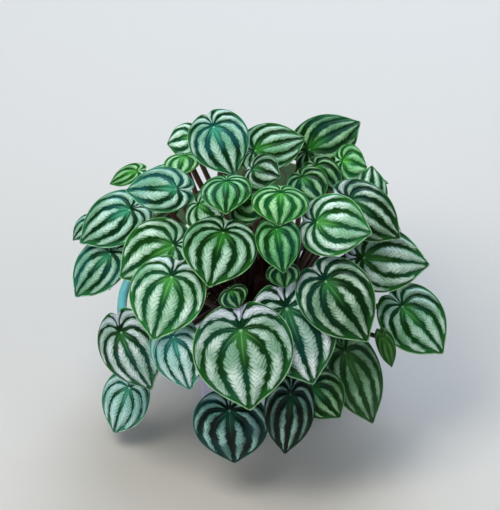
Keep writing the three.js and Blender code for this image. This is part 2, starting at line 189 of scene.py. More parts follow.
world = bpy.data.worlds.new("dim room")
world.use_nodes = True
room = world.node_tree.nodes["Background"].inputs
room["Color"].default_value = colour("e9eef5")
room["Strength"].default_value = ROOM_LIGHT
bpy.context.scene.world = world
bpy.context.scene.view_settings.view_transform = "Standard"
print("stage set, with", len(SOFT_BOXES), "soft boxes")

# %% [markdown]
# ## Small tools for modelling
# An operator acts on everything that is selected, so each step first deselects all and then picks what it
# needs. A copy of a frame node is merged before it is worked on, because its triangles come loose.

# %% Selection and modifier helpers
MERGE_DISTANCE = 0.005 * MM


def select_only(piece):
    bpy.ops.object.select_all(action="DESELECT")
    piece.select_set(True)
    bpy.context.view_layer.objects.active = piece


def apply_modifier(piece, kind, **settings):
    """Adds a modifier and applies it."""
    select_only(piece)
    modifier = piece.modifiers.new(kind.lower(), kind)
    for name, value in settings.items():
        setattr(modifier, name, value)
    bpy.ops.object.modifier_apply(modifier=modifier.name)


def smooth(piece, sharpest):
    """Shades a piece smooth, apart from edges that turn by more than this many degrees."""
    select_only(piece)
    bpy.ops.object.shade_smooth_by_angle(angle=math.radians(sharpest))


def joined(pieces):
    """Many pieces as one, under the first one's name."""
    select_only(pieces[0])
    for other in pieces[1:]:
        other.select_set(True)
    bpy.ops.object.join()
    return pieces[0]


def merged_copy(node, name):
    """A copy of a frame node with its loose triangles joined."""
    piece = bpy.data.objects.new(name, nodes[node].data.copy())
    piece.data.materials.clear()
    bpy.context.collection.objects.link(piece)
    select_only(piece)
    bpy.ops.object.mode_set(mode="EDIT")
    bpy.ops.mesh.select_all(action="SELECT")
    bpy.ops.mesh.remove_doubles(threshold=MERGE_DISTANCE)
    bpy.ops.object.mode_set(mode="OBJECT")
    return piece


def lathe(name, sides, outline):
    """A closed shell turned from an outline of radii and heights in mm, from its first disc to its last."""
    bpy.ops.object.select_all(action="DESELECT")
    radius, height = outline[0]
    bpy.ops.mesh.primitive_circle_add(
        vertices=sides, radius=radius * MM, fill_type="NGON", location=(0, 0, height * MM)
    )
    piece = bpy.context.object
    piece.name = name
    bpy.ops.object.transform_apply()
    bpy.ops.object.mode_set(mode="EDIT")
    bpy.ops.mesh.select_all(action="SELECT")
    for next_radius, next_height in outline[1:]:
        bpy.ops.mesh.extrude_region_move(
            TRANSFORM_OT_translate={"value": (0, 0, (next_height - height) * MM)}
        )
        growth = next_radius / radius
        bpy.ops.transform.resize(value=(growth, growth, 1), center_override=(0, 0, next_height * MM))
        radius, height = next_radius, next_height
    bpy.ops.mesh.select_all(action="SELECT")
    bpy.ops.mesh.normals_make_consistent(inside=False)
    bpy.ops.object.mode_set(mode="OBJECT")
    return piece


def settle(piece, slot, *stood_for):
    """The piece rides on the one body and stands for its frame nodes; its slot is not used."""
    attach(piece, "root")
    if stood_for:
        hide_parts(*stood_for)


# %% [markdown]
# ## Where each leaf blade lies
# A blade is a round shield with a pointed tip and a shallow notch, joined to its stalk inside the edge.
# The frame's blades hold all that is needed: the two corners where the most edges meet are the joint on
# the upper and on the under face, so the line between them is the blade's own upward direction, and the
# furthest corner is the tip. From these come the midrib, the width and how much the blade cups.

# %% Measure the blades
ROUND_RADIUS = 0.61  # the outline, for a midrib of length 1
ROUND_CENTRE = 0.23
TIP_SHARE = 1 - ROUND_CENTRE - ROUND_RADIUS
TIP_SPREAD = math.radians(11)
NOTCH_SHARE = 0.09
NOTCH_SPREAD = math.radians(14)
CUP_ASIDE = 0.6
PLEAT = 0.5 * MM


def measure_blade(node):
    """A blade's joint, directions and sizes, from the corners of its frame node."""
    shell = bmesh.new()
    shell.from_mesh(nodes[node].data)
    bmesh.ops.remove_doubles(shell, verts=shell.verts, dist=MERGE_DISTANCE)
    corners = [v.co.copy() for v in sorted(shell.verts, key=lambda v: -len(v.link_edges))]
    shell.free()
    centre = sum(corners, Vector()) / len(corners)
    top, under = corners[:2]
    if (top - under).dot((top + under) / 2 - centre) < 0:
        top, under = under, top
    normal = (top - under).normalized()
    joint = (top + under) / 2 + PLEAT * normal
    furthest = sorted(corners, key=lambda v: -(v - joint).length)[:2]
    run = (furthest[0] + furthest[1]) / 2 - joint
    flat = run - run.dot(normal) * normal
    midrib, length = flat.normalized(), flat.length
    sideways = midrib.cross(normal)
    widest = max(abs((v - joint).dot(sideways)) for v in corners)
    return {
        "joint": joint,
        "midrib": midrib,
        "normal": normal,
        "sideways": sideways,
        "length": length,
        "spread": widest / (ROUND_RADIUS * length),
        "cup": -run.dot(normal) / length,
        "width": 2 * widest,
    }


blades = {name: measure_blade(name) for name in blade_names}
largest = max(blades, key=lambda name: blades[name]["width"])
print("largest blade:", largest, round(blades[largest]["width"] / MM), "mm wide")

# %% [markdown]
# ## One flat pattern for all blades
# All blades have the same build, so the pattern is modelled once: a ring of edges is extruded inwards,
# step by step, until it closes on the joint. Each blade is then a copy of that disc, with every vertex
# put in its place. The steps are closer near the margin, where the edge of the leaf rolls down.

# %% Model the pattern
PATTERN_SECTORS = 88
PATTERN_RINGS = [1, 0.975, 0.93, 0.86, 0.77, 0.67, 0.57, 0.47, 0.37, 0.27, 0.18, 0.1, 0.04]

bpy.ops.object.select_all(action="DESELECT")
bpy.ops.mesh.primitive_circle_add(vertices=PATTERN_SECTORS, radius=1)
pattern = bpy.context.object
pattern.name = "blade_pattern"
bpy.ops.object.mode_set(mode="EDIT")
bpy.ops.mesh.select_all(action="SELECT")
for outer, inner in zip(PATTERN_RINGS, PATTERN_RINGS[1:]):
    bpy.ops.mesh.extrude_region_move()
    bpy.ops.transform.resize(value=[inner / outer] * 3, center_override=(0, 0, 0))
bpy.ops.mesh.extrude_region_move()
bpy.ops.mesh.merge(type="CENTER")
bpy.ops.mesh.select_all(action="SELECT")
bpy.ops.mesh.normals_make_consistent(inside=False)
bpy.ops.object.mode_set(mode="OBJECT")
if pattern.data.polygons[0].normal.z < 0:
    pattern.data.flip_normals()
print("pattern of", len(pattern.data.polygons), "faces")

# %% [markdown]
# ## Veins as a coordinate
# Nine veins leave the joint all round, more densely towards the notch, and then bend towards the tip like
# the meridians of a melon. The number that stays the same along a vein is worked out here from a point's
# angle and its distance. It counts veins from the midrib, so whole numbers are veins and the halves
# between are the crests of the pale bands. A second number runs along the veins and crosses them
# squarely: the distance from the joint as a share of the distances from the joint and from the tip. The
# finish reads both, each from a UV map of the blade.

# %% Vein coordinates
VEIN_BEND = 0.55  # how strongly the veins bend towards the tip
VEIN_BEND_POWER = 2.2
JOINT_SPREAD = 0.72  # below 1, the veins leave the joint more densely towards the notch


def margin_radius(turn):
    """How far the margin lies from the joint, for a midrib of length 1, at an angle from the tip."""
    half_chord = math.sqrt(ROUND_RADIUS**2 - (ROUND_CENTRE * math.sin(turn)) ** 2)
    tip = TIP_SHARE * math.exp(-turn / TIP_SPREAD)
    notch = NOTCH_SHARE * math.exp(-(((math.pi - turn) / NOTCH_SPREAD) ** 2))
    return ROUND_CENTRE * math.cos(turn) + half_chord + tip - notch


def vein_share(turn, share):
    """0 on the midrib, 1 at the notch, and the same all along a vein."""
    bend = 1 - VEIN_BEND * share**VEIN_BEND_POWER
    spread = JOINT_SPREAD + (1 - JOINT_SPREAD) * share**3
    return 1 - (1 - min(1, turn / math.pi) ** bend) ** spread


def along_vein(turn, share):
    """0 at the joint and 1 at the tip."""
    at = Vector((math.sin(turn), math.cos(turn))) * margin_radius(turn) * share
    from_tip = (at - Vector((0, 1))).length
    return at.length / (at.length + from_tip)


def pattern_places():
    """For each face corner: its signed vein share, its share outwards and its share along the veins."""
    places = []
    for face in pattern.data.polygons:
        side = math.copysign(1, face.center.x)
        for corner in face.vertices:
            at = pattern.data.vertices[corner].co
            share = min(1, at.xy.length)
            aim = at if share > 0.01 else face.center
            turn = abs(math.atan2(aim.x, aim.y))
            places.append((side * vein_share(turn, share), share, along_vein(turn, share)))
    return places


places = pattern_places()
print("vein coordinates for", len(places), "face corners")

# %% [markdown]
# ## The form of a blade
# A blade falls away from its joint on all sides. Its veins lie in furrows with the pale bands raised
# between them, its joint is a small dimple, its edge rolls down a little, and its margin waves. The waves
# differ from leaf to leaf, so they are drawn at random from a seed of its own for each.

# %% Shape one blade
EDGE_ROLL = 0.8 * MM
ROLL_START = 0.8  # where the edge starts to roll, as a share of the way from the joint to the margin
DIMPLE = 1.5 * MM
DIMPLE_SHARE = 0.11
WAVE = 0.5 * MM
FULL_GROWN = 60 * MM  # a blade this wide or wider has the whole of these


def blade_point(blade, at, veins, phases):
    """Where a point of the flat pattern lies on a blade."""
    share = min(1, at.xy.length)
    angle = math.atan2(at.x, at.y)
    turn = abs(angle)
    radius = margin_radius(turn) * share
    x, y = radius * math.sin(angle) * blade["spread"], radius * math.cos(angle)
    size = min(1, blade["width"] / FULL_GROWN)
    crest = -math.cos(math.pi * vein_share(turn, share) * veins)
    # the pleats rise soon after the joint and fade out before the margin
    raised = PLEAT * size * crest * math.sin(math.pi * min(1, share * 1.15) ** 0.8) ** 0.7 if share else 0
    rolled = EDGE_ROLL * size * max(0, (share - ROLL_START) / (1 - ROLL_START)) ** 2
    dimple = DIMPLE * size * math.exp(-((share / DIMPLE_SHARE) ** 2))
    waves = math.sin(3 * angle + phases[0]) + 0.6 * math.sin(5 * angle + phases[1])
    wave = WAVE * size * share**3 * waves / 1.6
    level = raised - rolled - dimple + wave - blade["cup"] * (y**2 + CUP_ASIDE * x**2) * blade["length"]
    return (
        blade["joint"]
        + blade["sideways"] * x * blade["length"]
        + blade["midrib"] * y * blade["length"]
        + blade["normal"] * level
    )


# %% [markdown]
# ## The finish of the blades
# The upper face of the leaf is a waxy skin, satin and a little uneven. Deep green bands follow the veins,
# and between them the skin is silvery, because air under it scatters the light. Side veins leave the
# bands every three millimetres or so, and cross the silver as thin dark lines, like the barbs of a
# feather. The joint is bright green, and so is the midrib for a way. The outer edge is green again, and
# the very margin is a thin pale line. The silver is paler towards its crests, partly its own and partly a
# painted highlight, and brighter in patches of painted sheen. Behind the joint of the large leaves, where
# the bands run together, a dark spot is painted shade, and their lobes are painted nearly white as a
# sheen. Young leaves are fresher, leaves deep inside are painted darker as shade, and on some lies a
# painted blue reflection of the sky in patches.
#
# All of it is worked out from the blade's two UV maps, so that it bends with the veins, and is mottled by
# noise on Object coordinates. Bands and lines this fine could be modelled, but at this size they are only
# seen as colour.

# %% Blade finish
TOOTH_SPACING = 2.9 * MM  # from one side vein to the next
TOOTH_LEAN = 4.0  # how many side veins a barb passes on its way across, as it leans outwards
TOOTH_DEPTH = 0.08  # how far barbs, and below it the slower unrest, move a band's edge, in vein spacings
UNREST_DEPTH = 0.14
UNREST_SIZE = 5 * MM
BULGE = 2.6 * MM  # of a pale band over its veins, near the margin
GRAIN_SIZE = 1.4 * MM  # cells of the skin; the real ones are finer, and drawn this coarse to show
# size of the patches of painted sheen on the silver
SHEEN_PATCH_SIZE = 17 * MM
# size and colour of the patches of a painted blue reflection of the sky
SKY_SHEEN_SIZE = 32 * MM
SKY_SHEEN_COLOUR = "186a78"
# colour of the painted sheen on the lobes
LOBE_SHEEN_COLOUR = "dfe4fa"
LEAF_IOR = 1.42
LEAF_GLOSS = 0.3  # below a smooth skin's 0.5, because the wax is a fine powder
DARK_HALF_WIDTHS = [  # of a band in vein spacings, at shares of the way from the joint to the margin
    (0.0, 1.0),
    (0.09, 0.66),
    (0.17, 0.46),
    (0.3, 0.28),
    (0.5, 0.19),
    (0.84, 0.16),
    (0.935, 0.24),
    (0.968, 0.56),
]


def blade_finish(name, tone):
    material = new_material(name)
    at = add_node(material, "TexCoord", out="Object")
    veins_at = add_node(material, "UVMap", uv_map="veins")
    vein = add_node(material, "SeparateXYZ", [veins_at], out="X")
    out = add_node(material, "SeparateXYZ", [veins_at], out="Y")
    teeth_at = add_node(material, "UVMap", uv_map="teeth")
    teeth = add_node(material, "SeparateXYZ", [teeth_at], out="X")
    off_vein = add_node(material, "Math", [vein, 0.5], operation="PINGPONG")
    unrest = add_node(material, "TexNoise", {"Vector": at, "Scale": 1 / UNREST_SIZE, "Detail": 0.8})
    unrest = add_node(material, "MapRange", [unrest, 0.3, 0.7, -0.5, 0.5])

    # the side veins, which lean outwards as they leave a vein
    lean = add_node(material, "Math", [off_vein, -TOOTH_LEAN, teeth], operation="MULTIPLY_ADD")
    lean = add_node(material, "Math", [unrest, 0.8, lean], operation="MULTIPLY_ADD")
    tooth = add_node(material, "Math", [lean, 0.5], operation="PINGPONG")
    line = add_node(material, "MapRange", [tooth, 0.16, 0.02, 0.0, 1.0])
    grown_tooth = add_node(material, "MapRange", [out, 0.15, 0.6, 0.35 * TOOTH_DEPTH, TOOTH_DEPTH])
    barb = add_node(material, "Math", [tooth, -0.25], operation="ADD")
    barb = add_node(material, "Math", [barb, grown_tooth], operation="MULTIPLY")

    # the silver: where a point lies further off its vein than the dark band is wide there, but not in the
    # dark spot behind the joint, which is painted shade
    dark = add_node(material, "ValToRGB", [out], stops=DARK_HALF_WIDTHS)
    reach = add_node(material, "Math", [off_vein, barb], operation="ADD")
    reach = add_node(material, "Math", [unrest, UNREST_DEPTH, reach], operation="MULTIPLY_ADD")
    over = add_node(material, "Math", [reach, dark], operation="SUBTRACT")
    beside = add_node(material, "Math", [vein], operation="ABSOLUTE")
    joint_shade = add_node(material, "MapRange", [out, 0.44, 0.3, 0.0, 0.5 * tone["lobe_sheen_and_shade"]])
    behind = add_node(material, "MapRange", [beside, 2.6, 3.6])
    joint_shade = add_node(material, "Math", [joint_shade, behind], operation="MULTIPLY")
    over = add_node(material, "Math", [over, joint_shade], operation="SUBTRACT")
    over = add_node(material, "Math", [over, tone["dark"]], operation="SUBTRACT")
    silver = add_node(material, "MapRange", [over, -0.04, 0.06], interpolation_type="SMOOTHSTEP")

    # the dark bands: bright round the joint, most of all along the midrib
    glow = add_node(material, "Math", [beside, 0.13, out], operation="MULTIPLY_ADD")
    glow = add_node(material, "MapRange", [glow, 0.54, 0.08], interpolation_type="SMOOTHSTEP")
    greens = {0: glow, 6: colour(tone["vein"]), 7: colour(tone["heart"])}
    band = add_node(material, "Mix", greens, out=2, data_type="RGBA")
    rim = add_node(material, "MapRange", [out, 0.84, 0.95], interpolation_type="SMOOTHSTEP")
    band = add_node(material, "Mix", {0: rim, 6: band, 7: colour(tone["rim"])}, out=2, data_type="RGBA")

    # the silver's colours: paler towards the crests, partly its own paleness and partly a painted
    # highlight, brighter in patches of painted sheen and nearly white on the lobes as a painted sheen, with
    # the side veins drawn across
    grain = add_node(material, "TexNoise", {"Vector": at, "Scale": 1 / GRAIN_SIZE, "Detail": 2.0})
    sheen_patches = add_node(material, "TexNoise", {"Vector": at, "Scale": 1 / SHEEN_PATCH_SIZE, "Detail": 1.5})
    sheen_patches = add_node(material, "MapRange", [sheen_patches, 0.36, 0.62, 0.1, 1.0])
    crest = add_node(material, "MapRange", [over, 0.02, 0.17], interpolation_type="SMOOTHSTEP")
    crest = add_node(material, "Math", [crest, sheen_patches], operation="MULTIPLY")
    ripened = add_node(material, "MapRange", [out, 0.16, 0.5, 0.3, 1.0])
    crest = add_node(material, "Math", [crest, ripened], operation="MULTIPLY")
    silvers = {0: crest, 6: colour(tone["silver"]), 7: colour(tone["crest_sheen"])}
    pale = add_node(material, "Mix", silvers, out=2, data_type="RGBA")
    lobe_sheen_and_shade = add_node(material, "MapRange", [beside, 2.4, 4.2, 0.0, tone["lobe_sheen_and_shade"]])
    pale = add_node(material, "Mix", {0: lobe_sheen_and_shade, 6: pale, 7: colour(LOBE_SHEEN_COLOUR)}, out=2, data_type="RGBA")
    speck = add_node(material, "MapRange", [grain, 0.6, 0.36, 0.0, 0.2])
    pale = add_node(material, "Mix", {0: speck, 6: pale, 7: colour(tone["rim"])}, out=2, data_type="RGBA")
    drawn = add_node(material, "MapRange", [over, 0.0, 0.26, 1.0, 0.36])
    drawn = add_node(material, "Math", [line, drawn], operation="MULTIPLY")
    pale = add_node(material, "Mix", {0: drawn, 6: pale, 7: colour(tone["vein"])}, out=2, data_type="RGBA")
    skin = add_node(material, "Mix", {0: silver, 6: band, 7: pale}, out=2, data_type="RGBA")

    # a pale thread in each vein near the joint, the dot of the joint and the line of the margin
    thread = add_node(material, "Math", [off_vein, out], operation="MULTIPLY")
    thread = add_node(material, "MapRange", [thread, 0.011, 0.004, 0.0, 0.35])
    fading = add_node(material, "MapRange", [out, 0.5, 0.15])
    thread = add_node(material, "Math", [thread, fading], operation="MULTIPLY")
    light = colour(tone["margin"])
    skin = add_node(material, "Mix", {0: thread, 6: skin, 7: light}, out=2, data_type="RGBA")
    dot = add_node(material, "MapRange", [out, 0.05, 0.02, 0.0, 0.8])
    skin = add_node(material, "Mix", {0: dot, 6: skin, 7: light}, out=2, data_type="RGBA")
    margin = add_node(material, "MapRange", [out, 0.974, 0.986])
    skin = add_node(material, "Mix", {0: margin, 6: skin, 7: light}, out=2, data_type="RGBA")

    # a painted reflection of the sky: in patches a blue haze lies over bands and silver alike
    sky_sheen = add_node(material, "TexNoise", {"Vector": at, "Scale": 1 / SKY_SHEEN_SIZE, "Detail": 0.5})
    patches = [sky_sheen, 0.45, 0.62, 0.0, tone["sky_sheen"]]
    sky_sheen = add_node(material, "MapRange", patches, interpolation_type="SMOOTHSTEP")
    veil = {0: sky_sheen, 6: skin, 7: colour(SKY_SHEEN_COLOUR)}
    skin = add_node(material, "Mix", veil, out=2, data_type="RGBA", blend_type="SCREEN")

    # in relief: the pale bands bulge between the veins, the side veins and the cells of the skin are fine
    bulge = add_node(material, "MapRange", [off_vein, 0.0, 0.5], interpolation_type="SMOOTHSTEP")
    bulge = add_node(material, "Math", [bulge, out], operation="MULTIPLY")
    relief = add_node(material, "Bump", {"Strength": 1.0, "Distance": BULGE, "Height": bulge})
    height = add_node(material, "Math", [line, -0.8, grain], operation="MULTIPLY_ADD")
    fine = {"Strength": 0.4, "Distance": 0.25 * MM, "Height": height, "Normal": relief}
    relief = add_node(material, "Bump", fine)
    rough = add_node(material, "MapRange", [grain, 0.3, 0.7, 0.34, 0.44])
    return finish(
        material,
        Base_Color=skin,
        Roughness=rough,
        Normal=relief,
        IOR=LEAF_IOR,
        Specular_IOR_Level=LEAF_GLOSS,
    )


# Each tone has the colours of its dark bands, from heart to rim, and those of its silver, of the painted
# sheen on the silver's crests, and of its margin. Its first number widens the bands, the second is how
# strong a painted blue reflection of the sky lies on it in patches, and the third is how white a painted
# sheen makes its lobes and how dark the painted shade behind its joint. The darkest tones are copies
# painted darker as shade, for leaves deep inside or underneath, and the palest bluish one is painted light.
TONES = {
    "grown": {"heart": "42943a", "vein": "0a3c0a", "rim": "236a26", "silver": "70ae7e", "crest_sheen": "d6f6e4",
              "margin": "9ed49a", "dark": 0.0, "sky_sheen": 0.08, "lobe_sheen_and_shade": 0.1},
    "bright": {"heart": "4c9e3c", "vein": "0b400b", "rim": "28762a", "silver": "78b486", "crest_sheen": "dcfaec",
               "margin": "a8dca4", "dark": -0.01, "sky_sheen": 0.1, "lobe_sheen_and_shade": 0.5},
    "even": {"heart": "30802a", "vein": "062e06", "rim": "1c5a1e", "silver": "62a070", "crest_sheen": "b6dcc6",
             "margin": "8cc688", "dark": 0.01, "sky_sheen": 0.06, "lobe_sheen_and_shade": 0.1},
    "large": {"heart": "3a7e36", "vein": "0a360d", "rim": "1a581c", "silver": "78a88a", "crest_sheen": "d2eae0",
              "margin": "9ccc9a", "dark": -0.03, "sky_sheen": 0.1, "lobe_sheen_and_shade": 1.0},
    "fresh": {"heart": "4aa832", "vein": "0e520e", "rim": "2d822d", "silver": "64ac66", "crest_sheen": "aee8ac",
              "margin": "9edc90", "dark": 0.03, "sky_sheen": 0.08, "lobe_sheen_and_shade": 0.0},
    "young": {"heart": "2f8a2c", "vein": "083c0c", "rim": "1e6420", "silver": "4f9458", "crest_sheen": "94d49c",
              "margin": "8ad084", "dark": 0.03, "sky_sheen": 0.12, "lobe_sheen_and_shade": 0.0},
    "sky": {"heart": "36966c", "vein": "052e12", "rim": "266e3c", "silver": "72ae8a", "crest_sheen": "c8eede",
            "margin": "9edcb8", "dark": 0.01, "sky_sheen": 0.34, "lobe_sheen_and_shade": 0.1},
    "icy_lit": {"heart": "48a488", "vein": "0a4226", "rim": "3a8a60", "silver": "98d6cc", "crest_sheen": "e0fcff",
            "margin": "c8f6ec", "dark": -0.06, "sky_sheen": 0.6, "lobe_sheen_and_shade": 0.1},
    "silvery": {"heart": "2a6a34", "vein": "052c10", "rim": "205c2a", "silver": "8cb6a4", "crest_sheen": "eaf6fc",
                "margin": "92c49a", "dark": -0.01, "sky_sheen": 0.15, "lobe_sheen_and_shade": 0.6},
    "veined": {"heart": "2c7030", "vein": "05280a", "rim": "18501c", "silver": "688f70", "crest_sheen": "c0dcc8",
               "margin": "90c090", "dark": 0.05, "sky_sheen": 0.1, "lobe_sheen_and_shade": 0.4},
    "shaded": {"heart": "2c7a2c", "vein": "052c06", "rim": "1a541c", "silver": "548656", "crest_sheen": "94c094",
               "margin": "7cb07a", "dark": 0.08, "sky_sheen": 0.1, "lobe_sheen_and_shade": 0.0},
    "deep_shade": {"heart": "0f3a1c", "vein": "010d06", "rim": "0a2a14", "silver": "3c6456", "crest_sheen": "9cc4b8",
             "margin": "4e7a5c", "dark": 0.08, "sky_sheen": 0.05, "lobe_sheen_and_shade": 0.0},
    "mossy": {"heart": "3a6a34", "vein": "143c18", "rim": "245426", "silver": "54805a", "crest_sheen": "8eb696",
              "margin": "6a9a6a", "dark": 0.03, "sky_sheen": 0.0, "lobe_sheen_and_shade": 0.0},
    "plain": {"heart": "4c8a3c", "vein": "2c5e24", "rim": "3c7430", "silver": "447c38", "crest_sheen": "5c9a4c",
              "margin": "6aa85a", "dark": 0.0, "sky_sheen": 0.0, "lobe_sheen_and_shade": 0.0},
    "dusky_shade": {"heart": "0e4434", "vein": "00140f", "rim": "0a382c", "silver": "4a7a72", "crest_sheen": "a0ccc6",
              "margin": "6aa094", "dark": 0.05, "sky_sheen": 0.2, "lobe_sheen_and_shade": 0.2},
}
finishes = {tone: blade_finish(f"waxy leaf skin, {tone}", TONES[tone]) for tone in TONES}
print("blade finishes:", ", ".join(finishes))

# %% [markdown]
# The under face has no silver and no wax. It is a matt pale green, because it is less dense with leaf
# green, with the veins standing out in dull red.

# %% Under-face finish
def under_finish():
    material = new_material("matt leaf underside")
    at = add_node(material, "TexCoord", out="Object")
    veins_at = add_node(material, "UVMap", uv_map="veins")
    vein = add_node(material, "SeparateXYZ", [veins_at], out="X")
    out = add_node(material, "SeparateXYZ", [veins_at], out="Y")
    off_vein = add_node(material, "Math", [vein, 0.5], operation="PINGPONG")
    mottle = add_node(material, "TexNoise", {"Vector": at, "Scale": 1 / (11 * MM), "Detail": 3.0})
    skin = add_node(
        material, "Mix", {0: mottle, 6: colour("4f8248"), 7: colour("86ad74")}, out=2, data_type="RGBA"
    )
    rib = add_node(material, "Math", [off_vein, out], operation="MULTIPLY")
    rib = add_node(material, "MapRange", [rib, 0.035, 0.012, 0.0, 0.8])
    skin = add_node(material, "Mix", {0: rib, 6: skin, 7: colour("7c4238")}, out=2, data_type="RGBA")
    height = add_node(material, "Math", [rib, 2.0, mottle], operation="MULTIPLY_ADD")
    relief = add_node(material, "Bump", {"Strength": 0.4, "Distance": 0.4 * MM, "Height": height})
    return finish(material, Base_Color=skin, Roughness=0.55, Normal=relief, IOR=1.4)


underside = under_finish()

# %% [markdown]
# ## The blades
# Which leaf has which tone is read off the photograph: those at the left are bluish, with a painted
# reflection of the sky, the youngest are fresh green near the top, the largest in front are the most
# silvery, with a painted sheen on their lobes, and those deep inside or underneath are painted dark as
# shade, while two low ones at the left are painted light. Leaves that are named here have a tone of their
# own, and all others are "grown". A blade is the pattern with every vertex put in its place. Solidify
# gives it its thickness and its under face, and one subdivision rounds it.

# %% Tones of the leaves
TONE_OF = {
    "sky": ["leaf_04", "leaf_14", "leaf_15", "leaf_16", "leaf_18"],
    "icy_lit": ["leaf_32", "leaf_34"],
    "fresh": ["leaf_01", "leaf_03", "leaf_13", "leaf_25"],
    "young": ["leaf_19", "leaf_24"],
    "even": ["leaf_06", "leaf_23"],
    "bright": ["leaf_26", "leaf_35"],
    "silvery": ["leaf_33", "leaf_37"],
    "veined": ["leaf_09", "leaf_12", "leaf_38"],
    "large": ["leaf_30", "leaf_40"],
    "shaded": ["leaf_07", "leaf_08", "leaf_10", "leaf_17", "leaf_20", "leaf_21", "leaf_31"],
    "deep_shade": ["leaf_36"],
    "mossy": ["leaf_28"],
    "dusky_shade": ["leaf_39"],
    "plain": ["leaf_27"],
}
tone_of = {name: tone for tone, names in TONE_OF.items() for name in names}

# %% Make the blades
BLADE_THICKNESS = 1.0 * MM
VEINS = 9
SMALL_BLADE_VEINS = 7
SMALL_BLADE = 34 * MM  # narrower than this, a blade has fewer veins


def make_blade(number, name):
    blade = blades[name]
    veins = VEINS if blade["width"] > SMALL_BLADE else SMALL_BLADE_VEINS
    draw = random.Random(number)
    phases = [draw.uniform(0, 2 * math.pi) for _ in range(2)]
    piece = bpy.data.objects.new(f"{name}_blade", pattern.data.copy())
    bpy.context.collection.objects.link(piece)
    for vertex in piece.data.vertices:
        vertex.co = blade_point(blade, vertex.co.copy(), veins, phases)
    while piece.data.uv_layers:
        piece.data.uv_layers.remove(piece.data.uv_layers[0])
    teeth = blade["length"] / TOOTH_SPACING
    maps = {
        "veins": [(vein * veins / 2, share) for vein, share, _ in places],
        "teeth": [(along * teeth + phases[0], 0.0) for _, _, along in places],
    }
    for name_of_map, values in maps.items():
        uv = piece.data.uv_layers.new(name=name_of_map)
        uv.uv.foreach_set("vector", [number for pair in values for number in pair])
    piece.data.materials.append(finishes[tone_of.get(name, "grown")])
    piece.data.materials.append(underside)
    apply_modifier(piece, "SOLIDIFY", thickness=BLADE_THICKNESS, offset=0, material_offset=1)
    apply_modifier(piece, "SUBSURF", levels=1, render_levels=1, use_limit_surface=False)
    select_only(piece)
    bpy.ops.object.shade_smooth()
    settle(piece, "leaf_blades", name)
    return piece


pieces = [make_blade(number, name) for number, name in enumerate(blade_names)]
bpy.data.objects.remove(pattern)
print(len(pieces), "blades of", len(pieces[0].data.polygons), "faces each")

# %% [markdown]
# ## Crowns and stalks
# The stalks are round and fleshy. The frame has them with five sides, so a copy of it is swollen a little
# and subdivided: that rounds them and takes back what was added. Their skin is smooth and full of sap, so
# it has a soft gloss. It is a dull red, painted near black as the shade inside the crown, paler towards
# the blades, and teal on one bare stalk out at the left, a painted reflection of the sky.

# %% Stalk finish
def stalk_finish():
    material = new_material("fleshy stalk skin")
    at = add_node(material, "TexCoord", out="Object")
    across = add_node(material, "SeparateXYZ", [at], out="X")
    along = add_node(material, "SeparateXYZ", [at], out="Y")
    height = add_node(material, "SeparateXYZ", [at], out="Z")
    mottle = add_node(material, "TexNoise", {"Vector": at, "Scale": 1 / (8 * MM), "Detail": 3.0})
    # a dull red painted near black, as the shade inside the crown
    shaded_reds = {0: mottle, 6: colour("1a0b0a"), 7: colour("3c1e1a")}
    shaded_red = add_node(material, "Mix", shaded_reds, out=2, data_type="RGBA")
    upper = add_node(material, "MapRange", [height, 130 * MM, 215 * MM, 0.0, 0.5])
    skin = add_node(material, "Mix", {0: upper, 6: shaded_red, 7: colour("8a6a52")}, out=2, data_type="RGBA")
    # teal on the bare stalk at the left, a painted reflection of the sky
    outwards = add_node(material, "MapRange", [across, -78 * MM, -90 * MM])
    forwards = add_node(material, "MapRange", [along, -15 * MM, -35 * MM])
    sky_reflection_side = add_node(material, "Math", [outwards, forwards], operation="MULTIPLY")
    sky_reflection_teals = {0: mottle, 6: colour("2f8f92"), 7: colour("7cc6cc")}
    sky_reflection_teal = add_node(material, "Mix", sky_reflection_teals, out=2, data_type="RGBA")
    skin = add_node(material, "Mix", {0: sky_reflection_side, 6: skin, 7: sky_reflection_teal}, out=2, data_type="RGBA")
    relief = add_node(material, "Bump", {"Strength": 0.3, "Distance": 0.3 * MM, "Height": mottle})
    return finish(material, Base_Color=skin, Roughness=0.4, Normal=relief, IOR=1.42)


stalk_skin = stalk_finish()

# %% Make the crowns
QUAD_ANGLE = math.radians(50)
STALK_SWELL = 0.45 * MM
SIDE_STALK_SWELL = 0.65 * MM
SIDE_STALK_STEPS = [-84 * MM, -88 * MM, -92 * MM]  # outwards, where the bare stalk at the left grows
SIDE_STALK_START = Vector((0, -25, 100)) * MM  # in front of this and above it


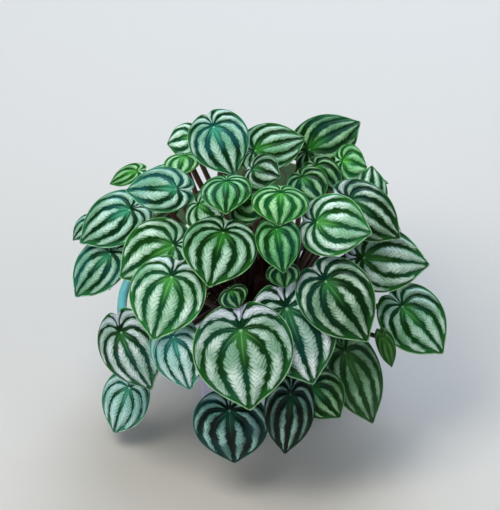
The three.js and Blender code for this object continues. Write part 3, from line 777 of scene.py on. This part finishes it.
def make_crown(name):
    """Swells a crown's stalks evenly, and the bare one at the left step by step as it runs outwards."""
    piece = merged_copy(name, f"{name}_stalks")
    bpy.ops.object.mode_set(mode="EDIT")
    bpy.ops.mesh.select_all(action="SELECT")
    bpy.ops.mesh.tris_convert_to_quads(face_threshold=QUAD_ANGLE, shape_threshold=QUAD_ANGLE)
    bpy.ops.transform.shrink_fatten(value=STALK_SWELL)
    bpy.ops.object.mode_set(mode="OBJECT")
    for step in SIDE_STALK_STEPS:
        bpy.ops.object.mode_set(mode="EDIT")
        bpy.ops.mesh.select_all(action="DESELECT")
        bpy.ops.object.mode_set(mode="OBJECT")
        for vertex in piece.data.vertices:
            x, y, z = vertex.co
            vertex.select = x < step and y < SIDE_STALK_START.y and z > SIDE_STALK_START.z
        if any(vertex.select for vertex in piece.data.vertices):
            bpy.ops.object.mode_set(mode="EDIT")
            bpy.ops.transform.shrink_fatten(value=SIDE_STALK_SWELL)
            bpy.ops.object.mode_set(mode="OBJECT")
    apply_modifier(piece, "SUBSURF", levels=2, render_levels=2, use_limit_surface=False)
    bpy.ops.object.shade_smooth()
    piece.data.materials.append(stalk_skin)
    settle(piece, "leaf_stalks", name)
    return piece


for name in crown_names:
    crown = make_crown(name)
    print(crown.name, "of", len(crown.data.polygons), "faces")

# %% [markdown]
# Where a stalk meets its blade it flares into a small collar. One collar is modelled for all: a ring that
# is extruded up twice and widened each time. Its copies are set under the blades and joined to one piece.

# %% Make the collars
COLLAR_SIDES = 12
COLLAR_RINGS = [(1.02, -5.2), (1.12, -3.4), (1.55, -1.2)]  # radius over the stalk's own, and height in mm
STALK_RADIUS = 1.6 * MM  # plus a share of the blade's width
STALK_RADIUS_SHARE = 0.012

radius, height = COLLAR_RINGS[0]
bpy.ops.object.select_all(action="DESELECT")
bpy.ops.mesh.primitive_circle_add(vertices=COLLAR_SIDES, radius=radius, fill_type="NGON")
collar = bpy.context.object
bpy.ops.object.mode_set(mode="EDIT")
bpy.ops.mesh.select_all(action="SELECT")
for next_radius, next_height in COLLAR_RINGS[1:]:
    growth = next_radius / radius
    bpy.ops.mesh.extrude_region_move(TRANSFORM_OT_translate={"value": (0, 0, (next_height - height) * MM)})
    bpy.ops.transform.resize(value=(growth, growth, 1), center_override=(0, 0, 0))
    radius, height = next_radius, next_height
bpy.ops.mesh.select_all(action="SELECT")
bpy.ops.mesh.normals_make_consistent(inside=False)
bpy.ops.object.mode_set(mode="OBJECT")


def collar_copy(blade):
    """The collar's mesh under a blade: sideways, along the midrib and up from the blade's joint."""
    mesh = collar.data.copy()
    stalk = STALK_RADIUS + STALK_RADIUS_SHARE * blade["width"]
    for vertex in mesh.vertices:
        x, y, z = vertex.co
        vertex.co = (
            blade["joint"]
            + blade["sideways"] * x * stalk
            + blade["midrib"] * y * stalk
            + blade["normal"] * (z + COLLAR_RINGS[0][1] * MM)
        )
    copy = bpy.data.objects.new("leaf_collars", mesh)
    bpy.context.collection.objects.link(copy)
    return copy


copies = [collar_copy(blade) for blade in blades.values()]
bpy.data.objects.remove(collar)
collars = joined(copies)
apply_modifier(collars, "SUBSURF", levels=1, render_levels=1)
bpy.ops.object.shade_smooth()
collars.data.materials.append(stalk_skin)
settle(collars, "leaf_stalks")
print("collars of", len(collars.data.polygons), "faces")

# %% [markdown]
# ## The pot
# A nursery pot is moulded in one shot of thin lilac plastic: a tapering wall, a rim band that stiffens it
# and holes in its foot. A disc is extruded from the foot up the outside, over the rim and down the
# inside, so the wall is a closed shell with its own thickness. The holes are then cut out of the foot,
# and small steps in the outline ease what the mould eases.

# %% Make the pot
POT_HEIGHT = 92
FOOT_RADIUS = 43
MOUTH_RADIUS = 52  # outside of the wall at the top, under the rim band
RIM_RADIUS = 55
RIM_DEPTH = 13
WALL = 2.2
FLOOR = 2.6
POT_SIDES = 120
DRAIN_HOLES = 6
DRAIN_RADIUS = 4.5
DRAIN_CIRCLE = 27


def wall_radius(height):
    return FOOT_RADIUS + (MOUTH_RADIUS - FOOT_RADIUS) * height / POT_HEIGHT


rim_bottom = POT_HEIGHT - RIM_DEPTH
pot = lathe(
    "pot_shell",
    POT_SIDES,
    [  # radii and heights in mm: the foot and its ring, the wall, the rim band, and back down inside
        (36, 1.2),
        (38, 0),
        (FOOT_RADIUS - 1.4, 0),
        (FOOT_RADIUS - 0.3, 0.5),
        (wall_radius(1.6), 1.6),
        (wall_radius(8), 8),
        (wall_radius(9) - 0.5, 9),
        (wall_radius(rim_bottom) - 0.5, rim_bottom - 0.6),
        (wall_radius(rim_bottom), rim_bottom),
        (RIM_RADIUS - 1.0, rim_bottom + 0.2),
        (RIM_RADIUS - 0.3, rim_bottom + 1.0),
        (RIM_RADIUS - 0.1, rim_bottom + 5),
        (RIM_RADIUS, POT_HEIGHT - 1.4),
        (RIM_RADIUS - 0.5, POT_HEIGHT - 0.3),
        (RIM_RADIUS - 1.4, POT_HEIGHT),
        (MOUTH_RADIUS - WALL + 0.8, POT_HEIGHT),
        (MOUTH_RADIUS - WALL, POT_HEIGHT - 0.8),
        (wall_radius(60) - WALL, 60),
        (wall_radius(30) - WALL, 30),
        (wall_radius(FLOOR + 1) - WALL, FLOOR + 1),
        (wall_radius(FLOOR) - WALL - 1, FLOOR),
    ],
)
for hole in range(DRAIN_HOLES):
    turn = 2 * math.pi * hole / DRAIN_HOLES
    bpy.ops.object.select_all(action="DESELECT")
    bpy.ops.mesh.primitive_cylinder_add(
        vertices=32,
        radius=DRAIN_RADIUS * MM,
        depth=4 * FLOOR * MM,
        location=(DRAIN_CIRCLE * MM * math.cos(turn), DRAIN_CIRCLE * MM * math.sin(turn), 0),
    )
    drill = bpy.context.object
    apply_modifier(pot, "BOOLEAN", object=drill, operation="DIFFERENCE", solver="EXACT")
    bpy.data.objects.remove(drill)
smooth(pot, 35)
print("pot of", len(pot.data.polygons), "faces")

# %% [markdown]
# The plastic is polypropylene, moulded: satin, a little cloudy, with the fine orange peel of its mould.
# The mix has left dust below the rim and faint splashes near the foot.

# %% Pot finish
def pot_finish():
    material = new_material("moulded polypropylene, lilac")
    at = add_node(material, "TexCoord", out="Object")
    height = add_node(material, "SeparateXYZ", [at], out="Z")
    cloud = add_node(material, "TexNoise", {"Vector": at, "Scale": 1 / (30 * MM), "Detail": 3.0})
    lilacs = {0: cloud, 6: colour("d2cef8"), 7: colour("e6e2ff")}
    skin = add_node(material, "Mix", lilacs, out=2, data_type="RGBA")
    splash = add_node(material, "TexNoise", {"Vector": at, "Scale": 1 / (5 * MM), "Detail": 4.0})
    low = add_node(material, "MapRange", [height, 26 * MM, 0.0, 0.0, 0.16])
    dust = add_node(material, "MapRange", [height, (rim_bottom - 9) * MM, rim_bottom * MM, 0.0, 0.1])
    inside = add_node(material, "MapRange", [height, (POT_HEIGHT - 0.6) * MM, POT_HEIGHT * MM, 0.0, 0.1])
    soiled = add_node(material, "Math", [low, dust], operation="ADD")
    soiled = add_node(material, "Math", [soiled, inside], operation="ADD")
    soiled = add_node(material, "Math", [splash, soiled], operation="ADD")
    soiled = add_node(material, "MapRange", [soiled, 0.62, 0.8, 0.0, 0.3])
    skin = add_node(material, "Mix", {0: soiled, 6: skin, 7: colour("6d6258")}, out=2, data_type="RGBA")
    peel = add_node(material, "TexNoise", {"Vector": at, "Scale": 1 / (1.6 * MM), "Detail": 2.0})
    relief = add_node(material, "Bump", {"Strength": 0.25, "Distance": 0.2 * MM, "Height": peel})
    rough = add_node(material, "MapRange", [splash, 0.3, 0.7, 0.36, 0.5])
    return finish(material, Base_Color=skin, Roughness=rough, Normal=relief, IOR=1.49, Coat_Weight=0.1)


pot.data.materials.append(pot_finish())
settle(pot, "pot_plastic", "pot")

# %% [markdown]
# ## The potting mix
# The mix fills the pot to a centimetre under its rim: dark peat and bark, heaped a little and lumpy, with
# white grains of perlite on it. A disc is extruded up the pot's inside and then inwards in many rings,
# and its top is moved up and down by noise, as a sculptor would. Bark and perlite are one rough grain,
# modelled once, copied with its own size and turn each time, and half sunk into the top.

# %% Make the mix
SOIL_LEVEL = 82
SOIL_GAP = 0.3
SOIL_SIDES = 96
SOIL_RINGS = 22
SOIL_SHOULDER = 2
SOIL_DIP = 0.6
SOIL_LUMPS = [(14, 1.8, 0), (5, 1.0, 9), (2, 0.5, 5)]  # width and height in mm, and the layer of the noise


def soil_side(height):
    return wall_radius(height) - WALL - SOIL_GAP


def soil_level(x, y):
    """The height of the top in metres, at a place in metres."""
    level = SOIL_LEVEL - SOIL_DIP
    for width, height, layer in SOIL_LUMPS:
        level += height * noise.noise(Vector((x, y, layer * MM)) / (width * MM))
    return level * MM


shoulder = SOIL_LEVEL - SOIL_SHOULDER
outline = [
    (soil_side(FLOOR) - 1, FLOOR + 0.2),
    (soil_side(FLOOR + 1), FLOOR + 1),
    (soil_side(shoulder), shoulder),
]
for ring in range(SOIL_RINGS):
    outline.append((soil_side(SOIL_LEVEL) * (SOIL_RINGS - ring - 0.5) / SOIL_RINGS, SOIL_LEVEL))
soil = lathe("potting_mix", SOIL_SIDES, outline)
for vertex in soil.data.vertices:
    if vertex.co.z > (shoulder + 1) * MM:
        vertex.co.z = soil_level(vertex.co.x, vertex.co.y)
smooth(soil, 60)
print("mix of", len(soil.data.polygons), "faces")

# %% Bark and perlite
GRAINS = {"bark": (170, 1.1, 2.6), "perlite": (110, 0.6, 1.5)}  # how many, and their half-widths in mm
GRAIN_CIRCLE = 46 * MM
GRAIN_UNREST = 0.25

grains = {kind: [] for kind in GRAINS}
for kind, (count, least, most) in GRAINS.items():
    draw = random.Random(kind)
    bpy.ops.object.select_all(action="DESELECT")
    bpy.ops.mesh.primitive_ico_sphere_add(subdivisions=1, radius=1)
    grain = bpy.context.object
    for _ in range(count):
        reach, turn = GRAIN_CIRCLE * math.sqrt(draw.random()), draw.uniform(0, 2 * math.pi)
        x, y = reach * math.cos(turn), reach * math.sin(turn)
        mesh = grain.data.copy()
        size = draw.uniform(least, most) * MM
        slab = Vector((1, draw.uniform(0.5, 0.9), draw.uniform(0.25, 0.5) if kind == "bark" else 0.8))
        spin = Matrix.Rotation(draw.uniform(0, 6), 3, "Z")
        spin = spin @ Matrix.Rotation(draw.uniform(-0.5, 0.5), 3, "X")
        place = Vector((x, y, soil_level(x, y) + 0.2 * size))
        for vertex in mesh.vertices:
            rough = 1 + GRAIN_UNREST * draw.uniform(-1, 1)
            vertex.co = spin @ (vertex.co * slab * size * rough) + place
        copy = bpy.data.objects.new(f"{kind}_grains", mesh)
        bpy.context.collection.objects.link(copy)
        grains[kind].append(copy)
    bpy.data.objects.remove(grain)

bark, perlite = joined(grains["bark"]), joined(grains["perlite"])
smooth(bark, 30)
smooth(perlite, 30)
print("bark of", len(bark.data.polygons), "faces, perlite of", len(perlite.data.polygons))

# %% Finish of the mix
def earth_finish(name, dark, light, size, roughness):
    """A dry, porous material in two shades, mottled at one size in mm."""
    material = new_material(name)
    at = add_node(material, "TexCoord", out="Object")
    mottle = add_node(material, "TexNoise", {"Vector": at, "Scale": 1 / (size * MM), "Detail": 4.0})
    mottle = add_node(material, "MapRange", [mottle, 0.35, 0.65])
    shades = {0: mottle, 6: colour(dark), 7: colour(light)}
    skin = add_node(material, "Mix", shades, out=2, data_type="RGBA")
    relief = add_node(material, "Bump", {"Strength": 0.7, "Distance": 0.5 * MM, "Height": mottle})
    return finish(material, Base_Color=skin, Roughness=roughness, Normal=relief)


soil.data.materials.append(earth_finish("moist peat", "140e09", "33251a", 2.2, 0.95))
bark.data.materials.append(earth_finish("chipped pine bark", "2a1a10", "5a3d28", 1.6, 0.9))
perlite.data.materials.append(earth_finish("expanded perlite", "b9b4aa", "eeebe4", 1.2, 0.85))
settle(soil, "potting_mix", "soil")
settle(bark, "potting_mix")
settle(perlite, "potting_mix")

# %% [markdown]
# ## Size
# The box of the dressed plant is printed next to that of the frame, to compare the two.

# %% Finish
low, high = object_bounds()
for part, (lowest, highest) in {"frame": (frame_low, frame_high), "visual": (low, high)}.items():
    print(part, [round(side / MM) for side in highest - lowest], "mm")
